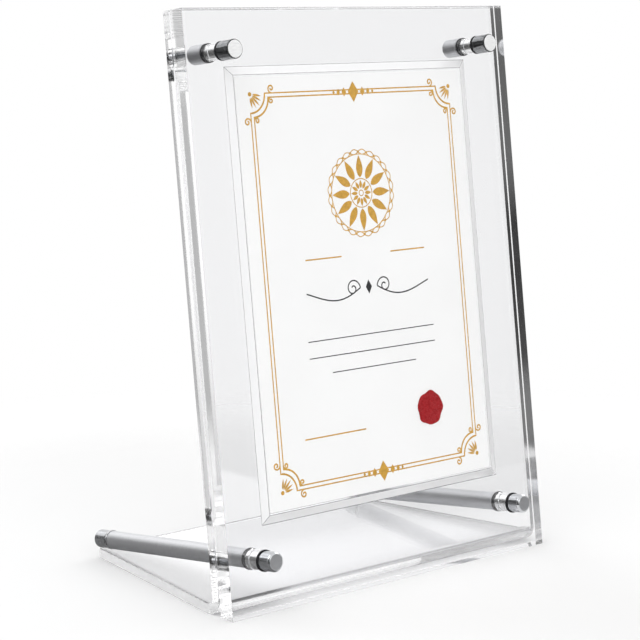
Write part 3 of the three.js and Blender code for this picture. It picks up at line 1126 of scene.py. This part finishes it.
class PHOTOFRAME_OT_studs(PhotoFrameStep, bpy.types.Operator):
    """Cut the four threaded studs that hold the frame together"""

    bl_idname = "photoframe.studs"
    bl_label = "Studs"

    def stud(self, back, front, posts):
        """A core with a ridge wound round it."""
        core = add_rod("stud", posts.stud_core, back, front, 32)
        pitch = posts.thread_pitch
        none_selected()
        bpy.ops.mesh.primitive_circle_add(
            vertices=3, radius=pitch * 0.42, rotation=(math.pi / 2, 0, 0),
        )
        ridge = apply_place(named("ridge"))
        out = posts.stud - max(v.co.x for v in ridge.data.vertices) - WELD_DISTANCE
        apply_place(ridge, Matrix.Translation((out, 0, back + pitch / 2)))
        apply_modifier(
            ridge, "SCREW", axis="Z", steps=24, render_steps=24, screw_offset=pitch,
            iterations=int((front - back) / pitch) - 1, use_merge_vertices=False,
        )
        pick(ridge, "EDGE", lambda e: e.is_boundary)
        bpy.ops.mesh.edge_face_add()
        faces_out(ridge)
        stud = joined([core, ridge], "stud")
        smooth(stud)
        return stud

    def execute(self, context):
        plates, posts = sizes(context)
        back = post_front(plates, posts) - posts.grip
        stud = self.stud(back, cap_back(plates, posts) + posts.grip, posts)
        row = (stud, "stud", "threaded", "stand", "polished_steel", "mirror_steel")
        spread(post_places(plates, posts, "top", "bottom"), row)
        return {"FINISHED"}


class PHOTOFRAME_OT_barrels(PhotoFrameStep, bpy.types.Operator):
    """Turn the short sleeves behind the panel on the upper posts"""

    bl_idname = "photoframe.barrels"
    bl_label = "Upper posts"

    def execute(self, context):
        plates, posts = sizes(context)
        front = post_front(plates, posts)
        back = front - posts.barrel
        barrel = add_rod("barrel", posts.radius, back, front)
        bore(barrel, front, posts.bore, posts.radius, -posts.grip - plates.gap)
        rim(barrel, back, posts.radius, posts.barrel_rim, 2)
        dressed(barrel, posts.edge, 2)
        row = (barrel, "barrel", "turned", "stand", "brushed_steel", "satin_steel")
        spread(post_places(plates, posts, "top"), row)
        return {"FINISHED"}


class PHOTOFRAME_OT_legs(PhotoFrameStep, bpy.types.Operator):
    """Turn the two long legs with their clear rings and end pieces"""

    bl_idname = "photoframe.legs"
    bl_label = "Legs"

    def leg(self, plates, posts, back):
        front = post_front(plates, posts)
        leg = add_rod("leg", posts.radius, back, front)
        bore(leg, front, posts.bore, posts.radius, -posts.grip - plates.gap)
        bore(leg, back, posts.spigot + plates.gap, posts.radius, posts.spigot_length)
        return dressed(leg, posts.edge, 2)

    def ring(self, plates, posts, back):
        front = back + posts.ring
        ring = add_rod("ring", posts.radius + posts.ring_proud, back, front)
        cut(ring, add_rod("hole", posts.spigot + plates.gap, back - posts.ring, front + posts.ring))
        return dressed(ring, posts.ring_edge, 3)

    def end(self, posts, back, front):
        end = add_rod("end", posts.radius, back, front)
        inset_end(end, front, posts.radius, posts.spigot)
        extrude((0, 0, posts.spigot_length))
        object_mode()
        rim(end, back, posts.radius, posts.leg_rim, 3)
        return dressed(end, posts.edge, 2)

    def execute(self, context):
        plates, posts = sizes(context)
        end_front = posts.leg_end - posts.reach
        ring_back = end_front + plates.gap
        leg = self.leg(plates, posts, ring_back + posts.ring + plates.gap)
        ring = self.ring(plates, posts, ring_back)
        end = self.end(posts, -posts.reach, end_front)
        spread(
            post_places(plates, posts, "bottom"),
            (leg, "leg", "turned", "stand", "brushed_steel", "satin_steel"),
            (ring, "leg_ring", "moulded", "stand", "clear_ring", "ring_plastic"),
            (end, "leg_end", "turned", "stand", "polished_steel", "fine_satin_steel"),
        )
        return {"FINISHED"}


# Name, place, width, power and whether metal mirrors it
LAMPS = (
    ("front_lamp", (-0.35, -1.6, 0.75), 1.0, 7, True),
    ("key_lamp", (-0.9, -0.3, 1.3), 1.0, 6, True),
    ("fill_lamp", (1.2, 0.1, 1.0), 0.9, 3.5, True),
    ("back_glow", (-0.3, 1.3, 1.0), 1.1, 4, True),
    ("back_lamp", (-0.3, 1.3, 1.0), 1.1, 4, False),
)
LAMP_AIM = Vector((0, 0, 0.1))

# How bright the surroundings look to matt surfaces and through the plates
MATT_LEVEL = 0.8
THROUGH_LEVEL = 1.12
FLOOR_TINT = (0.8, 0.8, 0.8)
MIRRORED_FLOOR_TINT = (0.18, 0.18, 0.18)


class PHOTOFRAME_OT_stage(PhotoFrameStep, bpy.types.Operator):
    """Set the white floor, the soft lamps and the camera"""

    bl_idname = "photoframe.stage"
    bl_label = "Stage"

    def execute(self, context):
        scene = context.scene
        scene.view_settings.view_transform = "Standard"
        # Light runs on inside the plates, from face to face, until it finds a way out
        scene.cycles.max_bounces = 64
        scene.cycles.glossy_bounces = 48
        scene.cycles.transmission_bounces = 48
        self.floor(scene.frame_stage)
        for lamp in LAMPS:
            self.lamp(*lamp)
        self.world(scene)
        self.camera(scene)
        return {"FINISHED"}

    def through(self, nodes):
        """1 for what the camera sees straight through the plates."""
        unmirrored = nodes.math("LESS_THAN", nodes.ray("Glossy Depth"), 0.5)
        return nodes.math("MULTIPLY", nodes.ray("Is Transmission Ray"), unmirrored)

    def straight(self, nodes):
        """1 for what the camera sees, also through the plates, and 0 for what is mirrored."""
        return nodes.math("MAXIMUM", nodes.ray("Is Camera Ray"), self.through(nodes))

    def pool(self, recipe):
        """A painted pool of light on the floor, behind the panel and right of the left leg."""
        x = recipe.part(recipe.coordinates, "X")
        y = recipe.part(recipe.coordinates, "Y")
        left = recipe.rise(x, -0.085, -0.045)
        right = recipe.rise(x, 0.068, 0.08, 1.0, 0.15)
        front = recipe.rise(y, -0.07, -0.03)
        under = recipe.between(y, 0.55, 0.2, 0.057, 0.06)
        across = recipe.math("MULTIPLY", left, right)
        return recipe.math("MULTIPLY", recipe.math("MULTIPLY", across, front), under)

    def floor(self, stage):
        """A white floor that fades out, that mirrors see painted dark on the left, and with a painted
        pool of light that glows through the plates.
        """
        none_selected()
        bpy.ops.mesh.primitive_plane_add(size=2 * stage.floor)
        floor = named("floor")
        recipe = Recipe("white_floor")
        plain = recipe.math("MAXIMUM", self.straight(recipe), recipe.ray("Is Diffuse Ray"))
        bright = recipe.rise(recipe.part(recipe.coordinates, "X"), -0.062, -0.045)
        white = recipe.math("MAXIMUM", plain, bright)
        tint = recipe.blend(white, MIRRORED_FLOOR_TINT, FLOOR_TINT, 0, 1)
        recipe.set(Base_Color=tint, Roughness=0.8, Specular_IOR_Level=0.1)
        # The floor glows as a painted pool of light where it is seen through the plates
        strength = recipe.math("MULTIPLY", self.through(recipe), self.pool(recipe))
        painted_glow = recipe.result("ShaderNodeEmission", "Emission", {"Strength": strength})
        shaders = {0: recipe.shader.outputs["BSDF"], 1: painted_glow}
        with_painted_glow = recipe.result("ShaderNodeAddShader", "Shader", shaders)
        away = recipe.result("ShaderNodeVectorMath", "Value", {0: recipe.coordinates}, operation="LENGTH")
        fade = recipe.rise(away, 0.22, 0.95 * stage.floor)
        nothing = recipe.node("ShaderNodeBsdfTransparent").outputs["BSDF"]
        recipe.show(recipe.either(fade, with_painted_glow, nothing))
        floor.data.materials.append(recipe.material)

    def lamp(self, name, place, size, power, mirrored):
        """A large square lamp that faces the frame."""
        none_selected()
        bpy.ops.object.light_add(type="AREA", location=place)
        lamp = named(name)
        lamp.data.shape = "SQUARE"
        lamp.data.size = size
        lamp.data.energy = power
        lamp.visible_glossy = mirrored
        lamp.rotation_mode = "QUATERNION"
        lamp.rotation_quaternion = (LAMP_AIM - Vector(place)).to_track_quat("-Z", "Y")

    def room(self, nodes):
        """How bright mirrors see the room in each direction, with its dark parts."""
        towards = nodes.node("ShaderNodeTexCoord").outputs["Generated"]
        room = nodes.rise(nodes.part(towards, "Z"), -0.06, 0.06, 0.55, 0.95)
        mottle = nodes.result("ShaderNodeTexNoise", "Fac", {"Scale": 14, "Vector": towards})
        patchy = nodes.between(mottle, 0.02, 0.32, 0.38, 0.62)
        once = nodes.math("LESS_THAN", nodes.ray("Glossy Depth"), 1.5)
        inner = nodes.math("GREATER_THAN", nodes.ray("Transmission Depth"), 0.5)
        inner = nodes.choose(inner, 0.08, 0.4)
        flag = nodes.choose(once, 1.3, inner)
        surround = nodes.choose(once, 1.3, 1.7)
        middle = nodes.math("DIVIDE", flag, surround)
        # Direction of each part, its level, and how near the direction it starts and is full
        for direction, level, start, full in (
            ((-0.6, 0.78, 0.05), patchy, 0.5, 0.82),
            ((-0.65, -0.75, 0.1), 0.12, 0.7, 0.95),
            ((0.99, -0.12, -0.12), 0.6, 0.9, 0.97),
            ((0.65, -0.76, 0.02), surround, 0.6, 0.85),
            ((0.65, -0.76, 0.02), middle, 0.955, 0.975),
            ((0, -0.996, 0.09), nodes.choose(once, 1.0, inner), 0.93, 0.97),
        ):
            values = {0: towards, 1: direction}
            near = nodes.result("ShaderNodeVectorMath", "Value", values, operation="DOT_PRODUCT")
            part = nodes.choose(nodes.rise(near, start, full), 1.0, level)
            room = nodes.math("MULTIPLY", room, part)
        return room

    def world(self, scene):
        """White where the camera looks, plain for matt surfaces, and a room for mirrors."""
        world = bpy.data.worlds.new("studio")
        scene.world = world
        nodes = NodeTree(world)
        level = nodes.choose(nodes.ray("Is Diffuse Ray"), self.room(nodes), MATT_LEVEL)
        shade = nodes.tree.nodes["Background"]
        nodes.feed((1, 1, 1, 1), shade.inputs["Color"])
        nodes.feed(level, shade.inputs["Strength"])
        white = nodes.result("ShaderNodeBackground", "Background", {
            "Color": (1, 1, 1, 1), "Strength": nodes.choose(self.through(nodes), 1.0, THROUGH_LEVEL),
        })
        seen = nodes.either(self.straight(nodes), shade.outputs["Background"], white)
        nodes.feed(seen, nodes.tree.nodes["World Output"].inputs["Surface"])

    def camera(self, scene):
        stage = scene.frame_stage
        none_selected()
        bpy.ops.object.camera_add()
        camera = named("camera")
        camera.data.sensor_width = 36
        camera.data.lens = stage.lens
        camera.data.shift_y = stage.shift
        turn = (
            Matrix.Rotation(-stage.heading, 4, "Z")
            @ Matrix.Rotation(math.pi / 2 - stage.pitch, 4, "X")
            @ Matrix.Rotation(-stage.roll, 4, "Z")
        )
        camera.matrix_world = Matrix.Translation(stage.camera_place) @ turn
        scene.camera = camera


STEPS = (
    PHOTOFRAME_OT_stage,
    PHOTOFRAME_OT_front_plate,
    PHOTOFRAME_OT_rear_plate,
    PHOTOFRAME_OT_print,
    PHOTOFRAME_OT_ornament,
    PHOTOFRAME_OT_caps,
    PHOTOFRAME_OT_washers,
    PHOTOFRAME_OT_studs,
    PHOTOFRAME_OT_barrels,
    PHOTOFRAME_OT_legs,
)


class PHOTOFRAME_PT_sidebar(bpy.types.Panel):
    """Lists the pieces of the photo frame"""

    bl_idname = "PHOTOFRAME_PT_sidebar"
    bl_label = "Photo frame"
    bl_space_type = "VIEW_3D"
    bl_region_type = "UI"
    bl_category = "Photo Frame"

    def draw(self, context):
        for step in STEPS:
            self.layout.operator(step.bl_idname)


GROUPS = {
    "frame_plates": PlateSizes,
    "frame_posts": PostSizes,
    "frame_print": PrintSizes,
    "frame_finishes": Finishes,
    "frame_stage": StageSettings,
}


def register():
    for group in GROUPS.values():
        bpy.utils.register_class(group)
    for name, group in GROUPS.items():
        setattr(bpy.types.Scene, name, bpy.props.PointerProperty(type=group))
    for step in STEPS:
        bpy.utils.register_class(step)
    bpy.utils.register_class(PHOTOFRAME_PT_sidebar)


def unregister():
    bpy.utils.unregister_class(PHOTOFRAME_PT_sidebar)
    for step in reversed(STEPS):
        bpy.utils.unregister_class(step)
    for name in GROUPS:
        delattr(bpy.types.Scene, name)
    for group in reversed(list(GROUPS.values())):
        bpy.utils.unregister_class(group)


def main():
    register()
    for step in STEPS:
        area, name = step.bl_idname.split(".")
        getattr(getattr(bpy.ops, area), name)()


if __name__ == "__main__":
    main()
